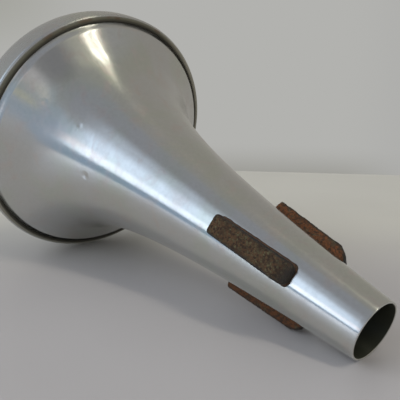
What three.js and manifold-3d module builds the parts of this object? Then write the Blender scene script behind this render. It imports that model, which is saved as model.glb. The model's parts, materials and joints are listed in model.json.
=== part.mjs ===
// A spun aluminium straight mute for a tenor trombone, lying on its side on a table.
// All lengths are in millimetres and +Z is up. The mute rests on two circles: the mouth of its
// neck and the round edge of its end cap. Every piece but the strips is a body of revolution,
// drawn as a profile of (radius, station), where the station is the distance from the mouth
// along the mute's own axis. The table is z = 0 and the origin is the middle of the footprint.

import * as THREE from 'three';
import { mergeVertices } from 'three/addons/utils/BufferGeometryUtils.js';
import Module from 'manifold-3d';

const wasm = await Module();
wasm.setup();

// Body: a thin spun shell, a nearly straight neck that opens into a bell flare
const MOUTH_RADIUS = 12.7; // outside radius of the open end
const BODY_SHEET = 0.8; // thickness of the body's sheet
const FLARE_LENGTH = 194.5; // mouth to the edge of the cap's fold
const FLARE_REACH = 36.2; // how far past the flare's end its curve would run out flat
const NECK_TAPER_SHARE = 0.053; // radius that the neck gains for each millimetre of length
const BEND_RADIUS = 1.2; // outside radius of the bend from the flange to the skirt

// End cap: a deep dish, its edge rolled over the body's flange
const CAP_RADIUS = 72.4; // outside radius of its side wall, the mute's widest
const RIM_STEP = 3.9; // how far that wall stands out past the body at the fold's edge
const CAP_SHEET = 0.9; // thickness of the cap's sheet
const SIDE_LENGTH = 4.0; // straight wall between the fold and the dome
const KNUCKLE_RADIUS = 40.0; // round shoulder of the dome
const CROWN_RADIUS = 98.0; // flatter middle of the dome
const FLAT_RADIUS = 12.0; // flat disc where the spinning lathe's follower held the blank
const FOLD_GAP = 0.3; // clearance between the body's sheet and the fold round it
const SEAT_SHARE = 0.35; // share of that clearance that the dome takes up at the skirt's end

// Cork strips: three, cut and glued round the neck by hand, so no two are quite alike.
// Each one's start and length are shares of the usual ones, its turn is in degrees.
const STRIP_START = 28.0; // mouth to where the strips usually begin
const STRIP_LENGTH = 43.0;
const STRIP_WIDTH = 9.4;
const STRIP_HEIGHT_MOUTH = 4.9; // cork above the neck, at the end near the mouth
const STRIP_HEIGHT_FLARE = 4.2; // and at the end near the flare
const STRIP_SLOPE = 5.0; // length at the mouth end that is pared down to slide into a bell
const STRIP_NOSE_SHARE = 0.47; // share of the cork's height that the paring leaves at its tip
const STRIP_CORNER = 2.4; // radius of its corners, seen from above
const STRIP_EDGE = 1.0; // radius along the top of its two ends
const GLUE_GAP = 0.3; // film of glue under the cork
const STRIP_PLACES = [
  { name: 'cork_strip_front', startShare: 1.114, lengthShare: 0.951, turn: -63 },
  { name: 'cork_strip_back', startShare: 0.971, lengthShare: 1, turn: 57 },
  { name: 'cork_strip_lower', startShare: 0.943, lengthShare: 1.03, turn: 177 },
];
const CUT_OVERRUN = 5.0; // how far the cutting shapes run past the cork

// Fineness of the faceted surfaces
const SIDES = 64;
const FLARE_STEPS = 22;
const FLARE_CROWDING_SHARE = 1.6; // above 1 the steps crowd where the flare turns
const BEND_STEPS = 4;
const KNUCKLE_STEPS = 11;
const CROWN_STEPS = 5;
const CORNER_STEPS = 5;

const spunBody = new THREE.MeshStandardMaterial({ color: 0xb9bbb8, roughness: 0.28, metalness: 1 });
const spunCap = new THREE.MeshStandardMaterial({ color: 0xb2b3af, roughness: 0.32, metalness: 1 });
const cork = new THREE.MeshStandardMaterial({ color: 0x5a3c26, roughness: 0.9, metalness: 0 });

const at = (radius, station) => new THREE.Vector2(radius, station);

// The flare's curve: a straight taper plus a hyperbola that starts at nothing at the mouth
const flareRadius = CAP_RADIUS - RIM_STEP; // outside radius of the body at the fold's edge
const poleStation = FLARE_LENGTH + FLARE_REACH;
const flareGain = flareRadius - MOUTH_RADIUS - NECK_TAPER_SHARE * FLARE_LENGTH;
const poleStrength = flareGain / (1 / FLARE_REACH - 1 / poleStation);

function bodyRadius(station) {
  const curve = poleStrength * (1 / (poleStation - station) - 1 / poleStation);
  return MOUTH_RADIUS + NECK_TAPER_SHARE * station + curve;
}

function bodySlope(station) {
  return NECK_TAPER_SHARE + poleStrength / (poleStation - station) ** 2;
}

// A point of the body's wall at some depth under its outside, square to the surface
function wallPoint(station, depth) {
  const angle = Math.atan(bodySlope(station));
  return at(bodyRadius(station) - depth * Math.cos(angle), station + depth * Math.sin(angle));
}

// The seam: the flange runs on straight from the flare, then bends back into the skirt.
// Body and fold share this centre line, each at its own offset from the body's outside.
const flangeAngle = Math.atan(bodySlope(FLARE_LENGTH));
const skirtRadius = CAP_RADIUS - CAP_SHEET - FOLD_GAP;
const flangeRise = skirtRadius - BEND_RADIUS - flareRadius + BEND_RADIUS * Math.cos(flangeAngle);
const flangeLength = flangeRise / Math.sin(flangeAngle);
const bendStation =
  FLARE_LENGTH + flangeLength * Math.cos(flangeAngle) + BEND_RADIUS * Math.sin(flangeAngle);
const sideEnd = bendStation + SIDE_LENGTH;
const skirtEnd = sideEnd + Math.sqrt(2 * KNUCKLE_RADIUS * FOLD_GAP * SEAT_SHARE);

function flangeStart(offset) {
  const radius = flareRadius + offset * Math.cos(flangeAngle);
  return at(radius, FLARE_LENGTH - offset * Math.sin(flangeAngle));
}

function bendPoints(offset) {
  const points = [];
  for (let i = 0; i <= BEND_STEPS; i++) {
    const angle = flangeAngle * (1 - i / BEND_STEPS);
    const reach = BEND_RADIUS + offset;
    const centreRadius = skirtRadius - BEND_RADIUS;
    points.push(at(centreRadius + reach * Math.cos(angle), bendStation - reach * Math.sin(angle)));
  }
  return points;
}

// Body shell: out along the flare, round the bend, back along the skirt and home on the inside
function bodyProfile() {
  const outside = [];
  const inside = [];
  for (let i = 0; i <= FLARE_STEPS; i++) {
    const station = FLARE_LENGTH * (1 - (1 - i / FLARE_STEPS) ** FLARE_CROWDING_SHARE);
    outside.push(at(bodyRadius(station), station));
    inside.push(wallPoint(station, BODY_SHEET));
  }
  inside[0].set(MOUTH_RADIUS - BODY_SHEET, 0);
  return [
    ...outside,
    ...bendPoints(0),
    at(skirtRadius, skirtEnd),
    at(skirtRadius - BODY_SHEET, skirtEnd),
    ...bendPoints(-BODY_SHEET).reverse(),
    ...inside.reverse(),
    outside[0],
  ];
}

// One wall of the dish, from the side to the axis; an inner wall is the outer one moved in
function domePoints(depth) {
  const knuckleCentre = CAP_RADIUS - KNUCKLE_RADIUS;
  const join = Math.asin(knuckleCentre / (CROWN_RADIUS - KNUCKLE_RADIUS));
  const crownCentre = sideEnd - (CROWN_RADIUS - KNUCKLE_RADIUS) * Math.cos(join);
  const knuckle = KNUCKLE_RADIUS - depth;
  const crown = CROWN_RADIUS - depth;
  const flatAngle = Math.asin(FLAT_RADIUS / CROWN_RADIUS);
  const points = [];
  for (let i = 0; i <= KNUCKLE_STEPS; i++) {
    const angle = Math.PI / 2 + (join - Math.PI / 2) * (i / KNUCKLE_STEPS);
    points.push(at(knuckleCentre + knuckle * Math.sin(angle), sideEnd + knuckle * Math.cos(angle)));
  }
  for (let i = 1; i <= CROWN_STEPS; i++) {
    const angle = join + (flatAngle - join) * (i / CROWN_STEPS);
    points.push(at(crown * Math.sin(angle), crownCentre + crown * Math.cos(angle)));
  }
  points.push(at(0, crownCentre + crown * Math.cos(flatAngle)));
  return points;
}

// End cap: from the axis along the inside to the fold's edge, then back along the outside
function capProfile() {
  return [
    ...domePoints(CAP_SHEET).reverse(),
    ...bendPoints(FOLD_GAP).reverse(),
    flangeStart(FOLD_GAP),
    flangeStart(FOLD_GAP + CAP_SHEET),
    ...bendPoints(FOLD_GAP + CAP_SHEET),
    ...domePoints(0),
  ];
}

// Turned so that a flat side, not a corner, lies underneath
function revolve(profile) {
  return new THREE.LatheGeometry(profile, SIDES, Math.PI / SIDES, Math.PI * 2);
}

function toSolid(geometry) {
  const bare = geometry.index ? geometry.clone() : geometry;
  bare.deleteAttribute('normal');
  bare.deleteAttribute('uv');
  const merged = mergeVertices(bare);
  const vertProperties = new Float32Array(merged.attributes.position.array);
  const triVerts = new Uint32Array(merged.index.array);
  return new wasm.Manifold(new wasm.Mesh({ numProp: 3, vertProperties, triVerts }));
}

function toGeometry(solid) {
  const mesh = solid.getMesh();
  const geometry = new THREE.BufferGeometry();
  geometry.setAttribute('position', new THREE.BufferAttribute(mesh.vertProperties, 3));
  geometry.setIndex(new THREE.BufferAttribute(mesh.triVerts, 1));
  return geometry;
}

// The strip from the side: its top falls from one height above the neck to the other, and
// falls away again over the pared slope to a low tip at the mouth end
function stripSide(start, end) {
  const topMouth = bodyRadius(start) + GLUE_GAP + STRIP_HEIGHT_MOUTH;
  const topFlare = bodyRadius(end) + GLUE_GAP + STRIP_HEIGHT_FLARE;
  const slopeTop = THREE.MathUtils.lerp(topMouth, topFlare, STRIP_SLOPE / (end - start));
  const tipTop = topMouth - STRIP_HEIGHT_MOUTH * (1 - STRIP_NOSE_SHARE);
  const tipEdge = Math.min(STRIP_EDGE, STRIP_HEIGHT_MOUTH * STRIP_NOSE_SHARE / 2);
  const tipRound = THREE.MathUtils.lerp(tipTop, slopeTop, tipEdge / STRIP_SLOPE);
  const shape = new THREE.Shape();
  shape.moveTo(0, start);
  shape.lineTo(tipTop - tipEdge, start);
  shape.quadraticCurveTo(tipTop, start, tipRound, start + tipEdge);
  shape.lineTo(slopeTop, start + STRIP_SLOPE);
  shape.lineTo(topFlare, end - STRIP_EDGE);
  shape.quadraticCurveTo(topFlare, end, topFlare - STRIP_EDGE, end);
  shape.lineTo(0, end);
  const depth = STRIP_WIDTH + 2 * CUT_OVERRUN;
  const options = { depth, bevelEnabled: false, curveSegments: CORNER_STEPS };
  return new THREE.ExtrudeGeometry(shape, options).translate(0, 0, -depth / 2);
}

// The strip from above: a rectangle with round corners
function stripPlan(start, end) {
  const half = STRIP_WIDTH / 2;
  const inner = half - STRIP_CORNER;
  const shape = new THREE.Shape();
  shape.absarc(inner, start + STRIP_CORNER, STRIP_CORNER, -Math.PI / 2, 0);
  shape.absarc(inner, end - STRIP_CORNER, STRIP_CORNER, 0, Math.PI / 2);
  shape.absarc(-inner, end - STRIP_CORNER, STRIP_CORNER, Math.PI / 2, Math.PI);
  shape.absarc(-inner, start + STRIP_CORNER, STRIP_CORNER, Math.PI, Math.PI * 1.5);
  const depth = bodyRadius(end) + STRIP_HEIGHT_FLARE + STRIP_HEIGHT_MOUTH + CUT_OVERRUN;
  const options = { depth, bevelEnabled: false, curveSegments: CORNER_STEPS };
  return new THREE.ExtrudeGeometry(shape, options).rotateY(Math.PI / 2);
}

// The neck under the strip, grown by the glue: what the cork is hollowed to fit
function neckUnderStrip(start, end) {
  const low = Math.max(start - CUT_OVERRUN, 0);
  const high = end + CUT_OVERRUN;
  const profile = [at(0, low)];
  for (let i = 0; i <= FLARE_STEPS; i++) {
    const station = low + (high - low) * (i / FLARE_STEPS);
    profile.push(at(bodyRadius(station) + GLUE_GAP, station));
  }
  profile.push(at(0, high));
  return revolve(profile);
}

function makeStrip(place) {
  const start = STRIP_START * place.startShare;
  const end = start + STRIP_LENGTH * place.lengthShare;
  const block = toSolid(stripSide(start, end)).intersect(toSolid(stripPlan(start, end)));
  const solid = block.subtract(toSolid(neckUnderStrip(start, end)));
  const strip = new THREE.Mesh(toGeometry(solid), cork.clone());
  strip.name = place.name;
  strip.rotation.y = THREE.MathUtils.degToRad(place.turn);
  return strip;
}

function makeBody() {
  const body = new THREE.Mesh(revolve(bodyProfile()), spunBody);
  body.name = 'body_shell';
  return body;
}

function makeCap() {
  const cap = new THREE.Mesh(revolve(capProfile()), spunCap);
  cap.name = 'end_cap';
  return cap;
}

// The mute's own frame: Y along its axis from the mouth, X away from the table
const mute = new THREE.Group();
mute.add(makeBody(), makeCap());
for (const place of STRIP_PLACES) mute.add(makeStrip(place));

// It lies on its mouth and on the round edge of the fold, so its axis climbs by this angle
const flatShare = Math.cos(Math.PI / SIDES);
const bendRise = (skirtRadius - BEND_RADIUS - MOUTH_RADIUS) * flatShare;
const foldRadius = BEND_RADIUS + FOLD_GAP + CAP_SHEET;
const lean = Math.atan2(bendRise, bendStation) + Math.asin(foldRadius / Math.hypot(bendRise, bendStation));
const away = new THREE.Vector3(Math.sin(lean), 0, Math.cos(lean));
const along = new THREE.Vector3(-Math.cos(lean), 0, Math.sin(lean));
const across = new THREE.Vector3().crossVectors(away, along);
mute.quaternion.setFromRotationMatrix(new THREE.Matrix4().makeBasis(away, along, across));

// Set down on the table, centred over its own footprint
const box = new THREE.Box3().setFromObject(mute, true);
const middle = box.getCenter(new THREE.Vector3());
mute.position.set(-middle.x, -middle.y, -box.min.z);

const part = new THREE.Group();
part.add(mute);

export default part;
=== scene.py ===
"""A straight mute of spun aluminium for a tenor trombone, lying on its side on a pale table.

All lengths are in metres. The mute rests on its mouth and on the round edge of its end cap, so
its axis climbs from the mouth to the cap. A spun shell is a profile of radius and station, the
distance from the mouth along that axis, turned round it. Three strips of cork sit on its neck.
"""
import json
import math

import bpy
from bpy.props import (
    FloatProperty, FloatVectorProperty, IntProperty, PointerProperty,
)
from bpy.types import Operator, Panel, PropertyGroup
from mathutils import Color, Euler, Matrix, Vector, noise


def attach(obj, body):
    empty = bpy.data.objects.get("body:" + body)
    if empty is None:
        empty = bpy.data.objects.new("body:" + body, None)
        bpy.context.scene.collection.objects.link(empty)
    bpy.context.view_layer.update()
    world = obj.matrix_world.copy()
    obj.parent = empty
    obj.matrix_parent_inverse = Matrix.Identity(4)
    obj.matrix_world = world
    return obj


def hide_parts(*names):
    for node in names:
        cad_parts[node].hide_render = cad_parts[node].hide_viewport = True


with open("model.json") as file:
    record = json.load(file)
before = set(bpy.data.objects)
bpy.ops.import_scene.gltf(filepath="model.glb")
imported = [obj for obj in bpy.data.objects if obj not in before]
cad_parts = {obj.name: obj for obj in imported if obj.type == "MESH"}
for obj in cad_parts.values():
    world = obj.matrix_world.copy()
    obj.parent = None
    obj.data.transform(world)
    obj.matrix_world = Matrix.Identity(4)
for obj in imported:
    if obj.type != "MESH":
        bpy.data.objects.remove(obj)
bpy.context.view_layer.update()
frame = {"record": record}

bl_info = {
    "name": "Straight Mute",
    "version": (1, 0, 0),
    "blender": (4, 5, 0),
    "location": "3D View > Sidebar > Mute",
    "description": "Builds a spun aluminium straight mute with its cork strips on a table",
    "category": "Add Mesh",
}

MM = 0.001
BODY = "root"

# How finely the pieces are made: steps along the body's wall, along each arc of the dome
# outside and inside, along a strip, up its walls and over its top, and along its glue
BODY_STEPS = 170
DOME_STEPS, DOME_INSIDE_STEPS = 60, 30
STRIP_STEPS, STRIP_WALL_STEPS, STRIP_TOP_STEPS = 120, 14, 24
GLUE_STEPS = 70


def linear(hex_colour):
    """The linear red, green and blue of an sRGB colour such as #c0ffee."""
    shares = [int(hex_colour[i:i + 2], 16) / 255 for i in (1, 3, 5)]
    return tuple(s / 12.92 if s <= 0.04045 else ((s + 0.055) / 1.055) ** 2.4 for s in shares)


def length(name, description, millimetres):
    """A property that holds a length."""
    return FloatProperty(
        name=name, description=description, default=millimetres * MM, unit="LENGTH", precision=5
    )


def colour(name, description, hex_colour):
    """A property that holds a colour."""
    return FloatVectorProperty(
        name=name, description=description, default=linear(hex_colour), subtype="COLOR",
        min=0, max=1,
    )


class MuteBodySizes(PropertyGroup):
    """The bell-shaped shell."""

    mouth_radius: length("Mouth radius", "Outside radius of the open end", 12.7)
    sheet: length("Sheet", "Thickness of the body's sheet", 0.8)
    flare_length: length("Flare length", "Mouth to the edge of the cap's fold", 194.5)
    flare_reach: length("Flare reach", "How far past its end the flare would run out flat", 36.2)
    taper: FloatProperty(
        name="Taper", description="Radius that the neck gains over its length", default=0.053
    )
    bend_radius: length("Bend radius", "Outside of the bend from the flange to the skirt", 1.2)
    lip_round: length("Lip round", "Radius on the edges of the cut sheet", 0.25)
    roll_height: length("Roll height", "How far the wall swells before it dips under the fold", 1.1)
    roll_front: length("Roll front", "Length over which it swells", 14.0)
    roll_back: length("Roll back", "Length over which it dips", 2.4)
    around: IntProperty(name="Around", description="Faces round each spun shell", default=240)


class MuteCapSizes(PropertyGroup):
    """The domed cap whose edge is rolled over the body's flange."""

    radius: length("Radius", "Outside radius of the side wall", 72.4)
    rim_step: length("Rim step", "How far that wall stands out past the flare's end", 3.9)
    sheet: length("Sheet", "Thickness of the cap's sheet", 0.9)
    side_length: length("Side length", "Straight wall between the fold and the dome", 4.0)
    knuckle_radius: length("Knuckle radius", "Round shoulder of the dome", 40.0)
    crown_radius: length("Crown radius", "Flatter middle of the dome", 98.0)
    flat_radius: length("Flat radius", "Flat disc where the lathe held the blank", 12.0)
    fold_gap: length("Fold gap", "Clearance between the body's sheet and the fold", 0.3)
    seat_share: FloatProperty(
        name="Seat share", description="Share of that clearance taken up inside the dome",
        default=0.35,
    )


class MuteCorkSizes(PropertyGroup):
    """The three strips of cork and the glue under them."""

    start: length("Start", "Mouth to where the strips usually begin", 28.0)
    length: length("Length", "Usual length of a strip", 43.0)
    width: length("Width", "Width of a strip", 9.4)
    height_mouth: length("Height, mouth", "Cork above the neck near the mouth", 4.9)
    height_flare: length("Height, flare", "Cork above the neck near the flare", 4.2)
    slope: length("Slope", "Length at the mouth end that is pared down", 5.0)
    nose_share: FloatProperty(
        name="Nose share", description="Share of the height left at the pared tip", default=0.47
    )
    corner: length("Corner", "Radius of the corners, seen from above", 2.4)
    edge: length("Edge", "Radius along the top of the two ends", 1.0)
    rub: length("Rub", "Radius that wear has put on the long edges", 0.55)
    grain: length("Grain", "Size of the cork's granules", 0.85)
    pits: length("Pits", "Depth of the pits between granules", 0.16)
    glue_gap: length("Glue gap", "Clearance between the neck and the cork", 0.3)
    glue_film: length("Glue film", "Thickness of the dried glue", 0.26)
    glue_spread: length("Glue spread", "How far the glue has crept out from the cork", 0.35)


class MuteFinishes(PropertyGroup):
    """Colours of the metal, the cork and the glue."""

    aluminium: colour("Aluminium", "Polished sheet, dulled by hands", "#bdbdbc")
    aluminium_green: colour("Green cast", "Where the polish has gone slightly green", "#babcb6")
    aluminium_pink: colour("Pink cast", "Where fingers have warmed it", "#bfbab7")
    # Painted shade: the inside sheet is painted near black, standing in for the shade in the hollow
    # mute
    inside: colour("Inside", "Sheet inside the neck, dull with years of breath", "#2c2e23")
    tarnish: colour("Tarnish", "Grime and oxide along the fold", "#5a584a")
    tarnish_brown: colour("Brown tarnish", "Rusty stains in that grime", "#544636")
    # Paler film: low on the fold it is a painted reflection of the bright table, and it is also
    # paler on the far side
    tarnish_pale_and_reflection: colour("Wiped tarnish", "The same where hands and cloth reach", "#807d70")
    # The seam's near black is partly soot and partly painted shade of the gap
    soot_and_shade: colour("Soot", "Black grime in the gap of the seam", "#37342a")
    cork_cut: colour("Cut cork", "Side walls of the strips", "#613a1e")
    cork_dark: colour("Dark cork", "Bark in the granules and soiled hollows", "#2e2116")
    cork_face: colour("Cork face", "Outer faces, darkened by the bell", "#4e3926")
    cork_olive: colour("Olive cork", "Granules that have picked up metal", "#524c36")
    cork_worn: colour("Worn cork", "Polished black edges", "#15110d")
    glue: colour("Glue", "Dried contact cement", "#3b2a1a")


class MuteStage(PropertyGroup):
    """The table, the room and the light."""

    table: colour("Table", "Pale laminate", "#a6a4a5")
    # Painted light: the laminate is painted lighter towards the wall, standing in for the light and
    # sheen on the far table
    table_far_lit: colour("Table, far", "The laminate towards the lit wall", "#b9b8b1")
    # Painted light: rays other than the camera's see this lighter table colour
    table_mirrored: colour("Table, mirrored", "The table as the metal mirrors it", "#aeadab")
    fill: FloatProperty(
        name="Fill", description="Light that the mirrored table has even in deep shade",
        default=0.16,
    )
    wall: colour("Wall", "Plain wall behind the table", "#b2b2af")
    day: FloatProperty(
        name="Day", description="Share of the light that comes from all round", default=0.53
    )


SETTINGS = {
    "mute_body": MuteBodySizes, "mute_cap": MuteCapSizes, "mute_cork": MuteCorkSizes,
    "mute_finishes": MuteFinishes, "mute_stage": MuteStage,
}

# Each strip's node, its start and length as shares of the usual ones, and its turn in degrees
STRIPS = (
    ("cork_strip_front", 1.114, 0.951, -63),
    ("cork_strip_back", 0.971, 1.0, 57),
    ("cork_strip_lower", 0.943, 1.03, 177),
)


class MuteShape:
    """The curves that the shells, the corks and the glue share."""

    def __init__(self, scene):
        self.body, self.cap = scene.mute_body, scene.mute_cap
        body, cap = self.body, self.cap
        self.flare_radius = cap.radius - cap.rim_step
        self.pole = body.flare_length + body.flare_reach
        gain = self.flare_radius - body.mouth_radius - body.taper * body.flare_length
        self.strength = gain / (1 / body.flare_reach - 1 / self.pole)
        self.flange_angle = math.atan(self.slope(body.flare_length))
        self.skirt_radius = cap.radius - cap.sheet - cap.fold_gap
        rise = (self.skirt_radius - body.bend_radius - self.flare_radius
                + body.bend_radius * math.cos(self.flange_angle))
        run = rise / math.tan(self.flange_angle)
        self.bend_station = (body.flare_length + run
                             + body.bend_radius * math.sin(self.flange_angle))
        self.side_end = self.bend_station + cap.side_length
        seat = 2 * cap.knuckle_radius * cap.fold_gap * cap.seat_share
        self.skirt_end = self.side_end + math.sqrt(seat)
        knuckle_to_crown = cap.crown_radius - cap.knuckle_radius
        self.join = math.asin((cap.radius - cap.knuckle_radius) / knuckle_to_crown)
        self.crown_centre = self.side_end - knuckle_to_crown * math.cos(self.join)
        self.flat_angle = math.asin(cap.flat_radius / cap.crown_radius)
        self.end = self.crown_centre + cap.crown_radius * math.cos(self.flat_angle)
        flat = next(m for m in frame["record"]["mounts"] if m["kind"] == "flat_face")
        self.axis = Vector(flat["axis"]).normalized()
        self.side = Vector((0, 1, 0))
        self.up = self.side.cross(self.axis)
        self.mouth = Vector(flat["pos_m"]) - self.axis * self.end

    def radius(self, station):
        """The body's outside radius."""
        curve = self.strength * (1 / (self.pole - station) - 1 / self.pole)
        return self.body.mouth_radius + self.body.taper * station + curve

    def slope(self, station):
        """How fast that radius grows along the axis."""
        return self.body.taper + self.strength / (self.pole - station) ** 2

    def wall(self, station, lift):
        """A point some way above the body's outside, square to it."""
        angle = math.atan(self.slope(station))
        return self.radius(station) + lift * math.cos(angle), station - lift * math.sin(angle)

    def out(self, turn):
        """The direction away from the axis at some turn, in radians from the top."""
        return self.up * math.cos(turn) + self.side * math.sin(turn)

    def place(self, station, height, across, turn):
        """A point of the room from a height over the axis and a distance across."""
        sideways = self.axis.cross(self.out(turn))
        return self.mouth + self.axis * station + self.out(turn) * height + sideways * across


def spread(steps):
    """The shares 0 to 1 in equal steps, both ends included."""
    return [i / steps for i in range(steps + 1)]


def bend(shape, offset, steps=12):
    """The bend from the flange to the skirt, at an offset from the body's outside."""
    body = shape.body
    reach = body.bend_radius + offset
    centre = shape.skirt_radius - body.bend_radius
    angles = [shape.flange_angle * (1 - share) for share in spread(steps)]
    return [(centre + reach * math.cos(a), shape.bend_station - reach * math.sin(a))
            for a in angles]


def rounded(before, corner, after, radius, steps=4):
    """The corner of a profile taken off by a curve of about that radius."""
    corner, points = Vector(corner), []
    first = corner + (Vector(before) - corner).normalized() * radius
    last = corner + (Vector(after) - corner).normalized() * radius
    for share in spread(steps):
        point = first.lerp(corner, share).lerp(corner.lerp(last, share), share)
        points.append(tuple(point))
    return points


# How much stain and painted shade the sheet has, from 0 for bare metal to 1 for the gap of the
# seam, partly soot and partly painted shade, and for the inside of the body, painted shade of the
# hollow: how far that reaches out of the gap, its share round the inside of the mouth's lip, and
# the stain of the fold's flat face at its cut edge and at its bend
GRIME_AND_SHADE_REACH = 0.12 * MM
LIP_STAIN_AND_SHADE = (1.0, 0.9, 0.3, 0.3, 0.3)
FOLD_STAIN, BEND_STAIN = 0.95, 0.6

# Shares of the cap's sheet that are rounded off the fold's cut edge, inside and outside
HEM_ROUND_INSIDE, HEM_ROUND_OUTSIDE = 0.25, 0.75


def roll_lift(shape, station):
    """The swelling that the rolling of the seam leaves in the body just before the fold."""
    body = shape.body
    offset = station - body.flare_length + body.roll_back
    share = min(1.0, offset / body.roll_back if offset > 0 else -offset / body.roll_front)
    return body.roll_height * math.cos(math.pi / 2 * share) ** 2


def body_profile(shape):
    """The body's section as points and as how much stain and painted shade each one has."""
    body = shape.body
    stations = [body.flare_length * (1 - (1 - share) ** 2) for share in spread(BODY_STEPS)]
    outside = [shape.wall(s, roll_lift(shape, s)) for s in stations]
    inside = [shape.wall(s, -body.sheet) for s in stations[::2]]
    inside[0] = (body.mouth_radius - body.sheet, 0)
    skirt = [(shape.skirt_radius, shape.skirt_end),
             (shape.skirt_radius - body.sheet, shape.skirt_end)]
    lip_in = rounded(inside[1], inside[0], outside[0], body.lip_round)
    lip_out = rounded(inside[0], outside[0], outside[1], body.lip_round)
    hidden = bend(shape, 0) + skirt + bend(shape, -body.sheet)[::-1]
    outer = lip_out + outside[1:]
    points = outer + hidden + inside[:0:-1] + lip_in
    grimy_and_shaded = [max(0.0, 1 - (body.flare_length - s) / GRIME_AND_SHADE_REACH) for _, s in outer]
    stains_and_shade = grimy_and_shaded + [1.0] * (len(points) - len(outer) - len(lip_in)) + [*LIP_STAIN_AND_SHADE]
    return points + [points[0]], stains_and_shade + [stains_and_shade[0]]


def dome(shape, depth, steps):
    """The dish from its side to the axis, at some depth under its outside."""
    cap = shape.cap
    knuckle, crown = cap.knuckle_radius - depth, cap.crown_radius - depth
    centre = cap.radius - cap.knuckle_radius
    points = []
    for share in spread(steps):
        angle = math.pi / 2 + (shape.join - math.pi / 2) * share
        points.append((centre + knuckle * math.sin(angle),
                       shape.side_end + knuckle * math.cos(angle)))
    for share in spread(steps)[1:]:
        angle = shape.join + (shape.flat_angle - shape.join) * share
        points.append((crown * math.sin(angle), shape.crown_centre + crown * math.cos(angle)))
    station = shape.crown_centre + crown * math.cos(shape.flat_angle)
    last = points[-1][0]
    return points + [(last * (1 - share), station) for share in spread(6)[1:]]


def cap_profile(shape):
    """The cap's section as points and as how much stain and painted shade each one has."""
    body, cap = shape.body, shape.cap
    cos, sin = math.cos(shape.flange_angle), math.sin(shape.flange_angle)

    def hem(offset):
        return shape.flare_radius + offset * cos, body.flare_length - offset * sin

    inner, outer = cap.fold_gap, cap.fold_gap + cap.sheet
    under, over = bend(shape, inner), bend(shape, outer)
    fold = (rounded(under[0], hem(inner), hem(outer), HEM_ROUND_INSIDE * cap.sheet)
            + rounded(hem(inner), hem(outer), over[0], HEM_ROUND_OUTSIDE * cap.sheet, 8))
    flat = [Vector(fold[-1]).lerp(Vector(over[0]), share) for share in spread(8)[1:-1]]
    inside = dome(shape, cap.sheet, DOME_INSIDE_STEPS)[::-1] + under[::-1]
    outside = dome(shape, 0, DOME_STEPS)
    points = inside + fold + [tuple(p) for p in flat] + over + outside
    dull = [FOLD_STAIN + (BEND_STAIN - FOLD_STAIN) * share for share in spread(len(flat) - 1)]
    clean = [BEND_STAIN * max(0.0, 1 - 4 * share) for share in spread(len(over) - 1)]
    stains_and_shade = [1.0] * (len(inside) + len(fold)) + dull + clean + [0.0] * len(outside)
    return points, stains_and_shade


def add_node(tree, kind, inputs=None, **settings):
    """Adds a node.

    Inputs maps a socket's name or number to a value, or to an output to link. A node given as
    an input links its first output in use, and a colour is given its alpha.
    """
    node = tree.nodes.new(kind)
    for name, value in settings.items():
        setattr(node, name, value)
    for key, value in (inputs or {}).items():
        if isinstance(value, bpy.types.Node):
            value = next(output for output in value.outputs if output.enabled)
        if isinstance(value, bpy.types.NodeSocket):
            tree.links.new(value, node.inputs[key])
        else:
            node.inputs[key].default_value = (*value, 1.0) if isinstance(value, Color) else value
    return node


# The node tree that turns a profile, and how near the points are that it merges at its seam
SPIN = "Spin a profile"
DOUBLES_APART = 0.001 * MM


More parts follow.
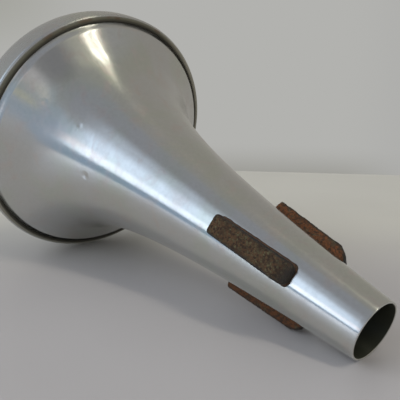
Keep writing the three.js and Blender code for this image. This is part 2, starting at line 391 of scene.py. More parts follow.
def spin_tree():
    """A node tree that turns a profile, with points (radius, 0, station), round an axis."""
    tree = bpy.data.node_groups.new(SPIN, "GeometryNodeTree")
    tree.is_modifier = True
    tree.interface.new_socket("Geometry", in_out="OUTPUT", socket_type="NodeSocketGeometry")
    for name, kind in (("Profile", "Geometry"), ("Around", "Int"), ("Mouth", "Vector"),
                       ("Axis", "Vector"), ("Up", "Vector"), ("Side", "Vector"),
                       ("Material", "Material")):
        tree.interface.new_socket(name, in_out="INPUT", socket_type="NodeSocket" + kind)
    given = add_node(tree, "NodeGroupInput").outputs
    count = add_node(tree, "GeometryNodeAttributeDomainSize", {"Geometry": given["Profile"]})
    columns = add_node(tree, "FunctionNodeIntegerMath", {0: given["Around"], 1: 1})
    grid = add_node(tree, "GeometryNodeMeshGrid", {
        "Vertices X": count.outputs["Point Count"], "Vertices Y": columns})
    index = add_node(tree, "GeometryNodeInputIndex")
    row, column = (
        add_node(tree, "FunctionNodeIntegerMath", {0: index, 1: columns}, operation=operation)
        for operation in ("DIVIDE_FLOOR", "MODULO"))
    share = add_node(tree, "ShaderNodeMath", {0: column, 1: given["Around"]}, operation="DIVIDE")
    turn = add_node(tree, "ShaderNodeMath", {0: share, 1: math.tau}, operation="MULTIPLY")
    cos, sin = (add_node(tree, "ShaderNodeMath", {0: turn}, operation=operation)
                for operation in ("COSINE", "SINE"))
    point = add_node(tree, "GeometryNodeSampleIndex", {
        "Geometry": given["Profile"], "Index": row,
        "Value": add_node(tree, "GeometryNodeInputPosition")}, data_type="FLOAT_VECTOR")
    parts = add_node(tree, "ShaderNodeSeparateXYZ", {0: point}).outputs
    up, side, climb = (
        add_node(tree, "ShaderNodeVectorMath", {0: given[name], "Scale": amount},
                 operation="SCALE")
        for name, amount in (("Up", cos), ("Side", sin), ("Axis", parts["Z"])))
    out = add_node(tree, "ShaderNodeVectorMath", {0: up, 1: side})
    centre = add_node(tree, "ShaderNodeVectorMath", {0: given["Mouth"], 1: climb})
    reach = add_node(tree, "ShaderNodeVectorMath", {0: out, "Scale": parts["X"]},
                     operation="SCALE")
    place = add_node(tree, "ShaderNodeVectorMath", {0: centre, 1: reach})
    result = add_node(tree, "GeometryNodeSetPosition", {"Geometry": grid, "Position": place})
    result = add_node(tree, "GeometryNodeStoreNamedAttribute", {
        "Geometry": result, "Name": "UVMap", "Value": grid.outputs["UV Map"],
    }, data_type="FLOAT2", domain="CORNER")
    for name in ("along", "stain_and_shade"):
        held = add_node(tree, "GeometryNodeInputNamedAttribute", {"Name": name})
        value = add_node(tree, "GeometryNodeSampleIndex", {
            "Geometry": given["Profile"], "Value": held, "Index": row})
        result = add_node(tree, "GeometryNodeStoreNamedAttribute", {
            "Geometry": result, "Name": name, "Value": value})
    result = add_node(tree, "GeometryNodeMergeByDistance", {
        "Geometry": result, "Distance": DOUBLES_APART})
    result = add_node(tree, "GeometryNodeRealizeInstances", {"Geometry": result})
    result = add_node(tree, "GeometryNodeSetMaterial", {
        "Geometry": result, "Material": given["Material"]})
    add_node(tree, "NodeGroupOutput", {"Geometry": result})
    return tree


def link_object(name, content):
    """An object in the scene that holds a mesh, a lamp or a camera."""
    item = bpy.data.objects.new(name, content)
    bpy.context.scene.collection.objects.link(item)
    return item


def face_outwards(mesh):
    """Turns a closed mesh's faces out if they point in."""
    mesh.calc_loop_triangles()
    volume = 0.0
    for triangle in mesh.loop_triangles:
        a, b, c = (mesh.vertices[i].co for i in triangle.vertices)
        volume += a.dot(b.cross(c))
    if volume < 0:
        mesh.flip_normals()


def smooth(mesh, degrees):
    """Smooth shading, apart from edges that turn by more than some degrees."""
    mesh.shade_smooth()
    mesh.set_sharp_from_angle(angle=math.radians(degrees))


def spun_shell(shape, name, profile, material):
    """A profile turned round the mute's axis by the node tree, as an object of plain mesh."""
    points, stains_and_shade = profile
    mesh = bpy.data.meshes.new(name + "_profile")
    mesh.from_pydata([(r, 0, s) for r, s in points],
                     [(i, i + 1) for i in range(len(points) - 1)], [])
    along = [0.0]
    for first, second in zip(points, points[1:]):
        along.append(along[-1] + math.dist(first, second))
    for attribute, levels in (("along", along), ("stain_and_shade", stains_and_shade)):
        mesh.attributes.new(attribute, "FLOAT", "POINT").data.foreach_set("value", levels)
    source = bpy.data.objects.new(name + "_profile", mesh)
    tree = bpy.data.node_groups.get(SPIN) or spin_tree()
    modifier = source.modifiers.new("Spin", "NODES")
    modifier.node_group = tree
    values = {"Around": shape.body.around, "Mouth": shape.mouth, "Axis": shape.axis,
              "Up": shape.up, "Side": shape.side, "Material": material}
    for socket in tree.interface.items_tree:
        if socket.in_out == "INPUT" and socket.name in values:
            modifier[socket.identifier] = values[socket.name]
    bpy.context.scene.collection.objects.link(source)
    bpy.context.view_layer.update()
    depsgraph = bpy.context.evaluated_depsgraph_get()
    spun = bpy.data.meshes.new_from_object(
        source.evaluated_get(depsgraph), preserve_all_data_layers=True, depsgraph=depsgraph)
    source.modifiers.remove(modifier)
    bpy.data.objects.remove(source)
    spun.name = name
    face_outwards(spun)
    smooth(spun, 40)
    return link_object(name, spun)


# Dents that handling has left in the flare: station in millimetres, turn in degrees, then
# reach and depth in millimetres
DENTS = (
    (150.5, -91.5, 2.7, 0.28),
    (162.8, -59.5, 2.2, 0.06),
    (181.7, -59.6, 2.4, 0.10),
    (174.0, -63.0, 6.0, 0.12),
)

# Sizes and depths of the marks on the metal. Lathe rings and scuffs are really 0.1 to 0.2 mm
# wide, which is too fine to show, so they are drawn as coarse as they need to be
RING_STEP = 1.6 * MM
SCUFF_SIZE = 0.8 * MM
DUST_SIZE = 1.4 * MM
CRINKLE_SIZE, CRINKLE_DEPTH = 4 * MM, 0.024 * MM
SMEAR_SIZE, SMEAR_DEPTH = 9 * MM, 0.02 * MM
CLOUD_SIZE = 26 * MM

# Where the fold's film turns paler: the stretch across towards the far side over which it thins
# out, and the stretch of height over the table below which it is painted lighter, a painted
# reflection of the bright table
PALER_ACROSS = (20 * MM, 55 * MM)
REFLECTION_HEIGHTS = (75 * MM, 40 * MM)

# Settings of a map range with soft ends, and of a mix of colours, which are its inputs 6 and 7
EASED = {"interpolation_type": "SMOOTHSTEP"}
OF_COLOURS = {"data_type": "RGBA"}


def new_material(name):
    """A material with an empty node tree, and that tree."""
    material = bpy.data.materials.new(name)
    material.use_nodes = True
    material.node_tree.nodes.clear()
    return material, material.node_tree


def layered(tree, shade, *layers):
    """A colour with others laid over it.

    Each layer has a pattern, the values at which it starts and is full, its strength, a colour.
    """
    for pattern, start, full, most, over in layers:
        share = add_node(tree, "ShaderNodeMapRange", {
            "Value": pattern, "From Min": start, "From Max": full, "To Max": most}, **EASED)
        shade = add_node(tree, "ShaderNodeMix", {0: share, 6: shade, 7: over}, **OF_COLOURS)
    return shade


def dented(tree, place, height, shape):
    """A height in metres with the dents pressed into it."""
    for station, degrees, reach, depth in DENTS:
        station *= MM
        centre = shape.place(station, shape.radius(station), 0, math.radians(degrees))
        distance = add_node(tree, "ShaderNodeVectorMath", {0: place, 1: centre},
                            operation="DISTANCE")
        pressed = add_node(tree, "ShaderNodeMapRange", {
            "Value": distance, "From Max": reach * MM, "To Min": -depth * MM, "To Max": 0.0,
        }, **EASED)
        height = add_node(tree, "ShaderNodeMath", {0: height, 1: pressed})
    return height


def spun_aluminium(name, finishes, soot_and_shade, roughness, ring_depth, scuff_depth, shape=None):
    """Aluminium sheet spun on a lathe and polished, then dulled by years of handling.

    The lathe leaves fine rings, so a highlight stays sharp round the mute and smears along it.
    Handling leaves cloudy patches that are rougher, and grime stays where a cloth can't reach:
    a dull film that hides the metal, nearly black in the gap of the seam, where the black is
    partly soot and partly painted shade. Given as the body's inside, that near black is painted
    shade of the hollow mute. The film is painted lighter low on the fold, a painted reflection
    of the bright table, and it is also paler on the far side of the fold.
    """
    material, tree = new_material(name)
    place = add_node(tree, "ShaderNodeTexCoord").outputs["Object"]
    parts = add_node(tree, "ShaderNodeSeparateXYZ", {0: place}).outputs
    along, stain_and_shade = (add_node(tree, "ShaderNodeAttribute", attribute_name=kept).outputs["Fac"]
                    for kept in ("along", "stain_and_shade"))
    steps = add_node(tree, "ShaderNodeMath", {0: along, 1: 1 / RING_STEP}, operation="MULTIPLY")
    rings = add_node(tree, "ShaderNodeTexNoise", {
        "W": steps, "Scale": 1.0, "Detail": 4.0, "Roughness": 0.65}, noise_dimensions="1D")
    clouds, smears, dust, crinkle = (
        add_node(tree, "ShaderNodeTexNoise", {
            "Vector": place, "Scale": 1 / size, "Detail": detail, "Distortion": distortion})
        for size, detail, distortion in (
            (CLOUD_SIZE, 4, 0.5), (SMEAR_SIZE, 5, 0.8), (DUST_SIZE, 2, 0), (CRINKLE_SIZE, 2, 0)))

    shade = layered(tree, finishes.aluminium,
                    (clouds, 0.42, 0.66, 1.0, finishes.aluminium_green),
                    (smears, 0.50, 0.74, 1.0, finishes.aluminium_pink))
    dulling = add_node(tree, "ShaderNodeMapRange", {
        "Value": dust, "From Min": 0.35, "From Max": 0.75, "To Min": 1.0, "To Max": 0.96,
    }, **EASED)
    shade = add_node(tree, "ShaderNodeVectorMath", {0: shade, "Scale": dulling},
                     operation="SCALE")

    film = layered(tree, finishes.tarnish, (smears, 0.48, 0.64, 1.0, finishes.tarnish_brown))
    # Painted reflection: the film is painted lighter low on the fold, where it mirrors the bright
    # table, and it turns paler towards the far side
    paler_far, reflection_below = (
        add_node(tree, "ShaderNodeMapRange", {
            "Value": parts[axis], "From Min": start, "From Max": full}, **EASED)
        for axis, (start, full) in (("Y", PALER_ACROSS), ("Z", REFLECTION_HEIGHTS)))
    pale_and_reflection = add_node(tree, "ShaderNodeMath", {0: paler_far, 1: reflection_below},
                     operation="MAXIMUM")
    film = add_node(tree, "ShaderNodeMix", {0: pale_and_reflection, 6: film, 7: finishes.tarnish_pale_and_reflection},
                    **OF_COLOURS)
    deepest = add_node(tree, "ShaderNodeMapRange", {
        "Value": stain_and_shade, "From Min": 0.75, "From Max": 1.0}, **EASED)
    soot_kept = add_node(tree, "ShaderNodeMath", {0: paler_far, 1: -0.85, 2: 1.0},
                       operation="MULTIPLY_ADD")
    soot_and_shade_share = add_node(tree, "ShaderNodeMath", {0: deepest, 1: soot_kept}, operation="MULTIPLY")
    film = add_node(tree, "ShaderNodeMix", {0: soot_and_shade_share, 6: film, 7: soot_and_shade}, **OF_COLOURS)
    covered = add_node(tree, "ShaderNodeMapRange", {"Value": stain_and_shade, "From Max": 0.75}, **EASED)
    shade = add_node(tree, "ShaderNodeMix", {0: covered, 6: shade, 7: film}, **OF_COLOURS)
    bare = add_node(tree, "ShaderNodeMapRange", {
        "Value": covered, "To Min": 1.0, "To Max": 0.15}, **EASED)

    cloudy = add_node(tree, "ShaderNodeMapRange", {
        "Value": smears, "From Min": 0.35, "From Max": 0.75, "To Min": roughness - 0.02,
        "To Max": roughness + 0.05}, **EASED)
    rough = add_node(tree, "ShaderNodeMath", {0: rings, 1: 0.04, 2: cloudy},
                     operation="MULTIPLY_ADD")
    rough = add_node(tree, "ShaderNodeMix", {0: covered, 2: rough, 3: 0.5})

    crinkled = add_node(tree, "ShaderNodeMapRange", {
        "Value": clouds, "From Min": 0.45, "From Max": 0.6, "To Min": 0.2, "To Max": 1.0,
    }, **EASED)
    crinkled = add_node(tree, "ShaderNodeMath", {0: crinkle, 1: crinkled},
                        operation="MULTIPLY")
    drawn_out = add_node(tree, "ShaderNodeVectorMath", {0: place, 1: (0.1, 1.0, 1.0)},
                         operation="MULTIPLY")
    scuffs = add_node(tree, "ShaderNodeTexNoise", {
        "Vector": drawn_out, "Scale": 1 / SCUFF_SIZE, "Detail": 3.0})
    height = 0.0
    for pattern, depth in ((crinkled, CRINKLE_DEPTH), (smears, SMEAR_DEPTH),
                           (rings, ring_depth), (scuffs, scuff_depth)):
        height = add_node(tree, "ShaderNodeMath", {0: pattern, 1: depth, 2: height},
                          operation="MULTIPLY_ADD")
    height = dented(tree, place, height, shape) if shape else height
    bump = add_node(tree, "ShaderNodeBump", {"Height": height, "Distance": 1.0})
    tangent = add_node(tree, "ShaderNodeTangent", direction_type="UV_MAP", uv_map="UVMap")
    surface = add_node(tree, "ShaderNodeBsdfPrincipled", {
        "Base Color": shade, "Metallic": bare, "Roughness": rough, "Anisotropic": 0.86,
        "Normal": bump, "Tangent": tangent})
    add_node(tree, "ShaderNodeOutputMaterial", {"Surface": surface})
    return material


# The stains on the cork, the relief of its granules, and the lumps of the dried glue
STAIN_SIZE = 4 * MM
GRAIN_RELIEF = 0.1 * MM
LUMP_SIZE, LUMP_RELIEF = 1.2 * MM, 0.08 * MM


def pressed_cork(name, finishes, cork):
    """Cork granules pressed and glued into sheet, cut by knife and worn by the bell.

    The cut walls keep the cork's rust brown. The outer faces are darker and olive from brass
    and oil, and their edges are polished nearly black.
    """
    material, tree = new_material(name)
    dark = finishes.cork_dark
    place = add_node(tree, "ShaderNodeTexCoord").outputs["Object"]
    handled, worn = (add_node(tree, "ShaderNodeAttribute", attribute_name=kept).outputs["Fac"]
                     for kept in ("handled", "worn"))
    warp = add_node(tree, "ShaderNodeTexNoise", {
        "Vector": place, "Scale": 1 / cork.grain, "Detail": 2.0}).outputs["Color"]
    shift = add_node(tree, "ShaderNodeVectorMath", {0: warp, "Scale": 0.5 * cork.grain},
                     operation="SCALE")
    moved = add_node(tree, "ShaderNodeVectorMath", {0: place, 1: shift})
    grains, seams = (
        add_node(tree, "ShaderNodeTexVoronoi", {
            "Vector": moved, "Scale": 1 / cork.grain}, feature=feature)
        for feature in ("F1", "DISTANCE_TO_EDGE"))
    pick = add_node(tree, "ShaderNodeSeparateColor", {0: grains.outputs["Color"]}).outputs
    clouds = add_node(tree, "ShaderNodeTexNoise", {
        "Vector": place, "Scale": 1 / STAIN_SIZE, "Detail": 4.0})

    cut = layered(tree, finishes.cork_cut, (pick[0], 0.3, 1.0, 1.0, dark))
    face = layered(tree, finishes.cork_face,
                   (pick[1], 0.35, 0.9, 1.0, dark),
                   (pick[2], 0.55, 1.0, 1.0, finishes.cork_olive),
                   (clouds, 0.48, 0.7, 0.7, dark))
    shade = add_node(tree, "ShaderNodeMix", {0: handled, 6: cut, 7: face}, **OF_COLOURS)
    shade = layered(tree, shade, (seams, 0.09, 0.0, 0.75, dark))
    shade = add_node(tree, "ShaderNodeMix", {0: worn, 6: shade, 7: finishes.cork_worn},
                     **OF_COLOURS)

    height = add_node(tree, "ShaderNodeMapRange", {
        "Value": seams, "From Max": 0.25, "To Max": GRAIN_RELIEF}, **EASED)
    bump = add_node(tree, "ShaderNodeBump", {"Height": height, "Distance": 1.0})
    rough = add_node(tree, "ShaderNodeMapRange", {
        "Value": worn, "To Min": 0.85, "To Max": 0.55}, **EASED)
    surface = add_node(tree, "ShaderNodeBsdfPrincipled", {
        "Base Color": shade, "Roughness": rough, "Normal": bump})
    add_node(tree, "ShaderNodeOutputMaterial", {"Surface": surface})
    return material


def dried_cement(name, finishes):
    """Contact cement that has dried to a brown, slightly glossy skin."""
    material, tree = new_material(name)
    place = add_node(tree, "ShaderNodeTexCoord").outputs["Object"]
    lumps = add_node(tree, "ShaderNodeTexNoise", {
        "Vector": place, "Scale": 1 / LUMP_SIZE, "Detail": 3.0})
    shade = layered(tree, finishes.glue, (lumps, 0.4, 0.7, 1.0, finishes.cork_dark))
    height = add_node(tree, "ShaderNodeMapRange", {
        "Value": lumps, "From Min": 0.2, "From Max": 0.8, "To Max": LUMP_RELIEF}, **EASED)
    bump = add_node(tree, "ShaderNodeBump", {"Height": height, "Distance": 1.0})
    surface = add_node(tree, "ShaderNodeBsdfPrincipled", {
        "Base Color": shade, "Roughness": 0.45, "Normal": bump})
    add_node(tree, "ShaderNodeOutputMaterial", {"Surface": surface})
    return material


# Sizes of the rings that close an end, as shares of its loop
CLOSING = (0.82, 0.6, 0.38, 0.16)


def loft(sections):
    """Closed loops of points joined by faces, the first and the last drawn in to a point."""
    size = len(sections[0])
    rings = []
    for end, draw in ((0, reversed), (-1, iter)):
        loop = sections[end]
        middle = sum(loop, Vector()) / size
        shrunk = [[middle.lerp(p, share) for p in loop] for share in CLOSING]
        rings.append((list(draw(shrunk)), middle))
    loops = rings[0][0] + sections + rings[1][0]
    points = [p for loop in loops for p in loop] + [rings[0][1], rings[1][1]]
    faces = []
    for row in range(len(loops) - 1):
        for i in range(size):
            j = (i + 1) % size
            low, high = row * size, (row + 1) * size
            faces.append((low + i, low + j, high + j, high + i))
    last = (len(loops) - 1) * size
    for i in range(size):
        j = (i + 1) % size
        faces.append((len(points) - 2, j, i))
        faces.append((len(points) - 1, last + i, last + j))
    return points, faces


def round_off(radius, near):
    """How far a rounded edge falls short at some distance from its end."""
    left = radius - min(max(near, 0.0), radius)
    return radius - math.sqrt(radius ** 2 - left ** 2)


def strip_outline(shape, cork, station, start, end):
    """Half width of a strip, and height of its top over the mute's axis, at a station."""
    near = min(station - start, end - station)
    half = cork.width / 2 - round_off(cork.corner, near)
    mouth_top = shape.radius(start) + cork.glue_gap + cork.height_mouth
    flare_top = shape.radius(end) + cork.glue_gap + cork.height_flare
    share = (station - start) / (end - start)
    top = mouth_top + (flare_top - mouth_top) * share
    if station - start < cork.slope:
        pared = cork.height_mouth * (1 - cork.nose_share)
        top -= pared * (1 - (station - start) / cork.slope)
    return half, top - round_off(cork.edge, near)


# How much closer together a strip's loops are near its ends, where its outline turns quickly
END_CROWDING = 0.35


def cork_sections(shape, cork, start, end, turn):
    """Loops round the strip: up one wall, over the top, down the other, back on the neck."""
    sections = []
    for share in spread(STRIP_STEPS):
        eased = 0.5 - 0.5 * math.cos(math.pi * share)
        station = (start + (end - start) * eased * END_CROWDING
                   + (end - start) * share * (1 - END_CROWDING))
        half, top = strip_outline(shape, cork, station, start, end)
        base = shape.radius(station) + cork.glue_gap
        foot = math.sqrt(base ** 2 - half ** 2)
        wall = [(-half, foot + (top - cork.rub - foot) * share)
                for share in spread(STRIP_WALL_STEPS)]
        edge = rounded(wall[0], (-half, top), (half, top), cork.rub, 5)[1:]
        left = wall + edge
        middle = [(-half + cork.rub + 2 * (half - cork.rub) * share, top)
                  for share in spread(STRIP_TOP_STEPS)[1:-1]]
        right = [(-across, height) for across, height in reversed(left)]
        steps = [half - 2 * half * share for share in spread(STRIP_WALL_STEPS)[1:-1]]
        under = [(across, math.sqrt(base ** 2 - across ** 2)) for across in steps]
        sections.append([shape.place(station, height, across, turn)
                         for across, height in left + middle + right + under])
    return sections


# How a strip is worn: the size of the chips in its edges, how deep they are and how far they
# reach from the edge, the size of the ragged line where the handled face ends and how far that
# is below the top, how deep the polish of the nose goes, and the height over the neck from
# which the cork is free to be rough
CHIP_SIZE, CHIP_DEPTH, EDGE_REACH = 4 * MM, 0.45 * MM, 1.1 * MM
RAGGED_SIZE, HANDLED_DEPTH = 2.2 * MM, 0.7 * MM
NOSE_DEPTH = 1.5 * MM
FREE_HEIGHT = 0.5 * MM


def wear_cork(shape, cork, mesh, turn, start, end):
    """Roughens a strip's open faces, chips its edges and notes where it is handled."""
    handled, worn = (mesh.attributes.new(name, "FLOAT", "POINT").data
                     for name in ("handled", "worn"))
    out, sideways = shape.out(turn), shape.axis.cross(shape.out(turn))
    moves = []
    for vertex in mesh.vertices:
        offset = vertex.co - shape.mouth
        station = min(max(offset.dot(shape.axis), start), end)
        height, across = offset.dot(out), offset.dot(sideways)
        half, top = strip_outline(shape, cork, station, start, end)
        base = shape.radius(station) + cork.glue_gap
        rise = math.hypot(height, across) - base
        down = max(0.0, top - height)
        inset = max(0.0, half - abs(across))
        grain = noise.noise(vertex.co / (0.8 * cork.grain))
        coarse = noise.noise(vertex.co / CHIP_SIZE + Vector((7, 3, 1)))
        ragged = 0.5 + 0.9 * noise.noise(vertex.co / RAGGED_SIZE)
        handled[vertex.index].value = min(1.0, max(0.0, 1.1 - down / HANDLED_DEPTH * ragged))
        rim = math.hypot(down, inset) / EDGE_REACH
        nose = (station - start) / (1.6 * cork.slope)
        wear = max(1.25 - rim, 0.9 - nose if down < NOSE_DEPTH else 0)
        worn[vertex.index].value = min(1.0, max(0.0, wear * (0.9 + 0.7 * coarse)))
        free = min(1.0, max(0.0, rise / FREE_HEIGHT))
        chip = max(0.0, coarse) * max(0.0, 1 - rim) * CHIP_DEPTH
        moves.append(vertex.normal * (grain * cork.pits * free) - out * chip * free)
    for vertex, move in zip(mesh.vertices, moves):
        vertex.co += move


# How far the edge of the glue wavers, and over what length
GLUE_WAVER, GLUE_WAVE = 0.25 * MM, 3 * MM


def glue_sections(shape, cork, start, end, turn):
    """Loops round the film of glue that shows along the foot of a strip."""
    low, high = start - cork.glue_spread, end + cork.glue_spread
    skin = (cork.glue_gap - cork.glue_film) / 2
    sections = []
    for share in spread(GLUE_STEPS):
        station = low + (high - low) * share
        near = min(station - low, high - station)
        half = cork.width / 2 + cork.glue_spread - round_off(cork.corner, near)
        half += GLUE_WAVER * noise.noise(Vector((station / GLUE_WAVE, turn, 0)))
        neck = shape.radius(station)
        loop = []
        for lift, order in ((skin + cork.glue_film, 1), (skin, -1)):
            for place in spread(STRIP_WALL_STEPS)[::order]:
                angle = half * (2 * place - 1) / neck
                loop.append((neck + lift, angle))
        sections.append([shape.place(station, reach * math.cos(angle),
                                     reach * math.sin(angle), turn) for reach, angle in loop])
    return sections


def lofted(name, sections, material):
    """A closed mesh lofted from loops of points."""
    points, faces = loft(sections)
    mesh = bpy.data.meshes.new(name)
    mesh.from_pydata(points, [], faces)
    mesh.materials.append(material)
    face_outwards(mesh)
    return mesh


class MUTE_OT_add_body(Operator):
    """Spin the bell-shaped body shell"""

    bl_idname = "mute.add_body"
    bl_label = "Add Body Shell"

    def execute(self, context):
        finishes = context.scene.mute_finishes
        shape = MuteShape(context.scene)
        # The body's inside takes the near-black inside colour: painted shade of the hollow mute
        metal = spun_aluminium(
            "spun_aluminium_body", finishes, soot_and_shade=finishes.inside, roughness=0.165,
            ring_depth=0.001 * MM, scuff_depth=0.005 * MM, shape=shape)
        piece = spun_shell(shape, "body_shell_spun", body_profile(shape), metal)
        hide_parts("body_shell")
        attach(piece, BODY)
        return {"FINISHED"}


class MUTE_OT_add_cap(Operator):
    """Spin the end cap and its rolled fold"""

    bl_idname = "mute.add_cap"
    bl_label = "Add End Cap"

    def execute(self, context):
        finishes = context.scene.mute_finishes
        shape = MuteShape(context.scene)
        metal = spun_aluminium(
            "spun_aluminium_cap", finishes, soot_and_shade=finishes.soot_and_shade, roughness=0.24,
            ring_depth=0.003 * MM, scuff_depth=0.001 * MM)
        piece = spun_shell(shape, "end_cap_spun", cap_profile(shape), metal)
        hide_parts("end_cap")
        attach(piece, BODY)
        return {"FINISHED"}


class MUTE_OT_add_corks(Operator):
    """Cut, glue and wear the three cork strips"""

    bl_idname = "mute.add_corks"
    bl_label = "Add Cork Strips"

    def execute(self, context):
        scene = context.scene
        shape, cork = MuteShape(scene), scene.mute_cork
        skin = pressed_cork("pressed_cork_worn", scene.mute_finishes, cork)
        cement = dried_cement("contact_cement_dried", scene.mute_finishes)
        for name, start_share, length_share, degrees in STRIPS:
            turn = math.radians(degrees)
            start = cork.start * start_share
            end = start + cork.length * length_share
            sections = cork_sections(shape, cork, start, end, turn)
            mesh = lofted(name + "_worn", sections, skin)
            wear_cork(shape, cork, mesh, turn, start, end)
            smooth(mesh, 60)
            piece = link_object(name + "_worn", mesh)
            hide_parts(name)
            film = lofted(name.replace("cork_strip", "glue_film"),
                          glue_sections(shape, cork, start, end, turn), cement)
            smooth(film, 40)
            glue = link_object(film.name, film)
            for part in (piece, glue):
                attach(part, BODY)
        return {"FINISHED"}


# The camera, as a pinhole fitted to the mute's outlines gives it: metres and degrees
CAMERA_PLACE = (0.213292, -0.166426, 0.094092)
CAMERA_AZIMUTH, CAMERA_TILT, CAMERA_ROLL = 48.89, -10.88, 0.97
LENS, SENSOR = 47.67, 36.0

# The table top: its far edge runs from one corner to the next, then its sides run on
TABLE_CORNERS = ((-0.905, -0.45), (-0.905, -0.285), (0.95, 1.545), (1.6, 1.545), (1.6, -0.45))
TABLE_THICKNESS = 0.03

# The direction across the table towards the wall, and the stretch along it in which the
# laminate is painted lighter, as painted light on the far table. Its clouds are drawn large,
# because the print itself is too fine to show
TABLE_AWAY = (-0.7535, 0.6574, 0.0)
TABLE_NEAR, TABLE_FAR = -0.03, 0.15
LAMINATE_CLOUD = 120 * MM

# Soft lamps that the metal doesn't mirror, because the room has their images: colour, share of
# the light, azimuth from +X towards +Y and elevation seen from the mute, both in degrees,
# then the lamp's width and height in metres
LAMP_DISTANCE = 3.0
LAMPS = (
    ("ceiling_tubes", "#fff4e2", 0.19, 8, 61, 0.37, 1.38),
    ("window_light", "#f0f6ff", 0.36, -112, 34, 4.0, 2.4),
)

# What the metal mirrors beyond the table: a colour and its level over soft-edged patches of the
# room. Each has its azimuths, their softness, its elevations, the softness below and above, all
# in degrees, and how many degrees of azimuth it leans by for each degree that it climbs over
# LEAN_FROM, down to LEAN_LEAST under it
LEAN_FROM, LEAN_LEAST = 45, -4
ROOM = (
    ("cool_side", "#a9adb4", 1.0, -140, -40, 12, 32, 95, 8, 5, 0),
    ("warm_side", "#b0ada6", 1.0, 50, 165, 15, -8, 95, 3, 5, 0),
    ("dim_corner", "#949597", 1.0, -38, 4, 11, 14, 44, 8, 10, 0),
    ("blue_curtain", "#b8c6d8", 0.94, -97, -38, 5, -12, 27, 3, 8, 0),
    ("under_window", "#b0cbe6", 0.92, -126, -94, 5, -30, 3, 6, 1, 0),
    ("window_top", "#dfeeff", 1.08, -124, -92, 3, 3, 52, 0.8, 8, 0),
    ("window_middle", "#d9ebff", 2.05, -120, -91.5, 2.5, 3, 34, 0.8, 9, 0),
    ("window_core", "#e4f0ff", 3.0, -115, -100, 2.5, 3.5, 14, 0.8, 3, 0),
    ("soft_patch", "#dad7d6", 1.2, -54, -30, 4, 12, 20, 2, 3, 0),
    ("yellow_patch", "#d8d0b6", 1.2, -50, -40, 3, 2, 7, 2, 2, 0),
    ("window_edge", "#fff0f0", 2.2, -97, -91.5, 2, 6, 14, 2, 3, 0),
    ("tube_glow", "#dcdac8", 1.0, -12, 24, 9, 34, 80, 6, 8, 0.5),
    ("tube_shade", "#fffae8", 1.8, 8.5, 18, 2, 40, 74, 4, 9, 0.45),
    ("tube_left", "#fffae8", 11.0, 8.5, 10.2, 0.6, 32.5, 57, 1.2, 13, 0.33),
    ("tube_right", "#fffae8", 11.0, 16.9, 18.1, 0.6, 33, 58, 1.2, 13, 0.5),
    ("ceiling", "#abaaa7", 1.0, -185, 185, 1, 80, 95, 4, 1, 0),
)

# The plain wall that the camera sees, with its softer shade at the foot and in the corners
WALL = (
    ("foot", "#979690", 1.0, -185, 185, 1, -95, -6.8, 1, 2.4, 0),
    ("near_side", "#adadab", 1.0, 90, 120, 5, -95, 95, 1, 1, 0),
    ("far_corner", "#9f9f97", 1.0, 156, 172, 8, 6, 95, 4, 1, 0),
)


def laminate(name, stage):
    """Pale matt laminate with a faint sheen at a grazing angle and faint clouds in its print.

    The metal mirrors a table that keeps some light in deep shade, so that the mute's own shadow
    doesn't blacken it: painted light, as every ray but the camera's sees the table painted lighter
    and glowing faintly.
    """
    material, tree = new_material(name)
    place = add_node(tree, "ShaderNodeTexCoord").outputs["Object"]
    clouds = add_node(tree, "ShaderNodeTexNoise", {
        "Vector": place, "Scale": 1 / LAMINATE_CLOUD, "Detail": 2.0})
    level = add_node(tree, "ShaderNodeMapRange", {
        "Value": clouds, "From Min": 0.3, "From Max": 0.7, "To Min": 0.98, "To Max": 1.02,
    }, **EASED)
    seen = add_node(tree, "ShaderNodeLightPath").outputs["Is Camera Ray"]
    depth = add_node(tree, "ShaderNodeVectorMath", {0: place, 1: TABLE_AWAY},
                     operation="DOT_PRODUCT")
    # Painted light: the laminate is painted lighter towards the wall
    top = layered(tree, stage.table, (depth, TABLE_NEAR, TABLE_FAR, 1.0, stage.table_far_lit))
    # Painted light: every ray but the camera's sees the lighter mirrored table, which also glows by
    # the fill
    shade = add_node(tree, "ShaderNodeMix", {0: seen, 6: stage.table_mirrored, 7: top},
                     **OF_COLOURS)
    shade = add_node(tree, "ShaderNodeVectorMath", {0: shade, "Scale": level},
                     operation="SCALE")
    rough = add_node(tree, "ShaderNodeMix", {0: seen, 2: 0.2, 3: 0.45})
    fill = add_node(tree, "ShaderNodeMix", {0: seen, 2: stage.fill, 3: 0.0})
    surface = add_node(tree, "ShaderNodeBsdfPrincipled", {
        "Base Color": shade, "Roughness": rough, "Emission Strength": fill,
        "Emission Color": stage.table_mirrored})
    add_node(tree, "ShaderNodeOutputMaterial", {"Surface": surface})
    return material


def add_table(stage):
    """A slab whose top is the plane that the mute lies on."""
    corners = [Vector((x, y, 0)) for x, y in TABLE_CORNERS]
    down = Vector((0, 0, -TABLE_THICKNESS))
    count = len(corners)
    points = corners + [c + down for c in corners]
    faces = [tuple(range(count)), tuple(range(2 * count - 1, count - 1, -1))]
    faces += [(i, (i + 1) % count, count + (i + 1) % count, count + i) for i in range(count)]
    mesh = bpy.data.meshes.new("table_top")
    mesh.from_pydata(points, [], faces)
    mesh.materials.append(laminate("pale_laminate", stage))
    face_outwards(mesh)
    link_object("table_top", mesh)


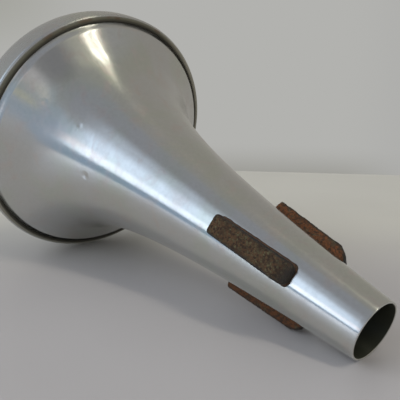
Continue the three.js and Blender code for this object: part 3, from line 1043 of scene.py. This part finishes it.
def add_room(stage):
    """The world: a plain wall for the camera, the room's light and dark for the metal."""
    world = bpy.data.worlds.new("room")
    bpy.context.scene.world = world
    world.use_nodes = True
    tree = world.node_tree
    tree.nodes.clear()
    towards = add_node(tree, "ShaderNodeTexCoord").outputs["Generated"]
    parts = add_node(tree, "ShaderNodeSeparateXYZ", {0: towards}).outputs
    azimuth = add_node(tree, "ShaderNodeMath", {0: parts["Y"], 1: parts["X"]},
                       operation="ARCTAN2")
    elevation = add_node(tree, "ShaderNodeMath", {0: parts["Z"]}, operation="ARCSINE")
    azimuth, elevation = (add_node(tree, "ShaderNodeMath", {0: angle}, operation="DEGREES")
                          for angle in (azimuth, elevation))
    climb = add_node(tree, "ShaderNodeMath", {0: elevation, 1: LEAN_FROM}, operation="SUBTRACT")
    climb = add_node(tree, "ShaderNodeMath", {0: climb, 1: LEAN_LEAST}, operation="MAXIMUM")

    def patched(patches):
        shown = stage.wall
        for name, tint, level, left, right, soft, low, high, below, above, lean in patches:
            sideways = add_node(tree, "ShaderNodeMath", {0: climb, 1: -lean, 2: azimuth},
                                operation="MULTIPLY_ADD")
            share = 1.0
            for value, edge, softness in ((sideways, left, soft), (sideways, right, -soft),
                                          (elevation, low, below), (elevation, high, -above)):
                inside = add_node(tree, "ShaderNodeMapRange", {
                    "Value": value, "From Min": edge - softness, "From Max": edge + softness,
                }, **EASED)
                share = add_node(tree, "ShaderNodeMath", {0: share, 1: inside},
                                 operation="MULTIPLY")
            patch = Color([level * c for c in linear(tint)])
            shown = add_node(tree, "ShaderNodeMix", {0: share, 6: shown, 7: patch},
                             label=name, **OF_COLOURS)
        return shown

    ray = add_node(tree, "ShaderNodeLightPath").outputs
    shown = add_node(tree, "ShaderNodeMix", {
        0: ray["Is Diffuse Ray"], 6: patched(ROOM), 7: Color([stage.day] * 3)}, **OF_COLOURS)
    shown = add_node(tree, "ShaderNodeMix", {
        0: ray["Is Camera Ray"], 6: shown, 7: patched(WALL)}, **OF_COLOURS)
    light = add_node(tree, "ShaderNodeBackground", {"Color": shown})
    add_node(tree, "ShaderNodeOutputWorld", {"Surface": light})


def add_lamp(name, hex_colour, share, azimuth, elevation, width, height):
    """A soft lamp that adds its share of the light to the table top."""
    lamp = bpy.data.lights.new(name, "AREA")
    lamp.shape = "RECTANGLE"
    lamp.size, lamp.size_y = width, height
    lamp.color = linear(hex_colour)
    azimuth, elevation = math.radians(azimuth), math.radians(elevation)
    lamp.energy = share * math.pi ** 2 * LAMP_DISTANCE ** 2 / math.sin(elevation)
    flat = math.cos(elevation)
    towards = Vector((flat * math.cos(azimuth), flat * math.sin(azimuth), math.sin(elevation)))
    item = link_object(name, lamp)
    item.location = towards * LAMP_DISTANCE
    item.rotation_mode = "QUATERNION"
    item.rotation_quaternion = towards.to_track_quat("Z", "Y")
    item.visible_glossy = False
    item.visible_camera = False


def add_camera():
    """The camera at the photograph's place and angle."""
    camera = bpy.data.cameras.new("camera")
    camera.sensor_width = SENSOR
    camera.lens = LENS
    item = link_object("camera", camera)
    item.location = CAMERA_PLACE
    tilt = Euler((math.radians(90 + CAMERA_TILT), 0, math.radians(CAMERA_AZIMUTH)))
    roll = Euler((0, 0, math.radians(CAMERA_ROLL)))
    item.rotation_euler = (tilt.to_matrix() @ roll.to_matrix()).to_euler()
    bpy.context.scene.camera = item


class MUTE_OT_add_stage(Operator):
    """Lay the table, set the light and place the camera"""

    bl_idname = "mute.add_stage"
    bl_label = "Add Table, Light and Camera"

    def execute(self, context):
        stage = context.scene.mute_stage
        context.scene.view_settings.view_transform = "Standard"
        add_table(stage)
        add_room(stage)
        for lamp in LAMPS:
            add_lamp(*lamp)
        add_camera()
        return {"FINISHED"}


class MUTE_PT_sidebar(Panel):
    """Every step and size of the mute"""

    bl_label = "Straight Mute"
    bl_space_type = "VIEW_3D"
    bl_region_type = "UI"
    bl_category = "Mute"

    def draw(self, context):
        for operator in OPERATORS:
            self.layout.operator(operator.bl_idname)
        for name, group in SETTINGS.items():
            box = self.layout.box()
            box.label(text=group.__doc__)
            for prop in group.__annotations__:
                box.prop(getattr(context.scene, name), prop)


OPERATORS = (MUTE_OT_add_stage, MUTE_OT_add_body, MUTE_OT_add_cap, MUTE_OT_add_corks)


def register():
    for cls in (*SETTINGS.values(), *OPERATORS, MUTE_PT_sidebar):
        bpy.utils.register_class(cls)
    for name, group in SETTINGS.items():
        setattr(bpy.types.Scene, name, PointerProperty(type=group))


def unregister():
    for name in SETTINGS:
        delattr(bpy.types.Scene, name)
    for cls in (MUTE_PT_sidebar, *reversed(OPERATORS), *reversed(SETTINGS.values())):
        bpy.utils.unregister_class(cls)


def main():
    register()
    bpy.ops.mute.add_stage()
    bpy.ops.mute.add_body()
    bpy.ops.mute.add_cap()
    bpy.ops.mute.add_corks()


if __name__ == "__main__":
    main()
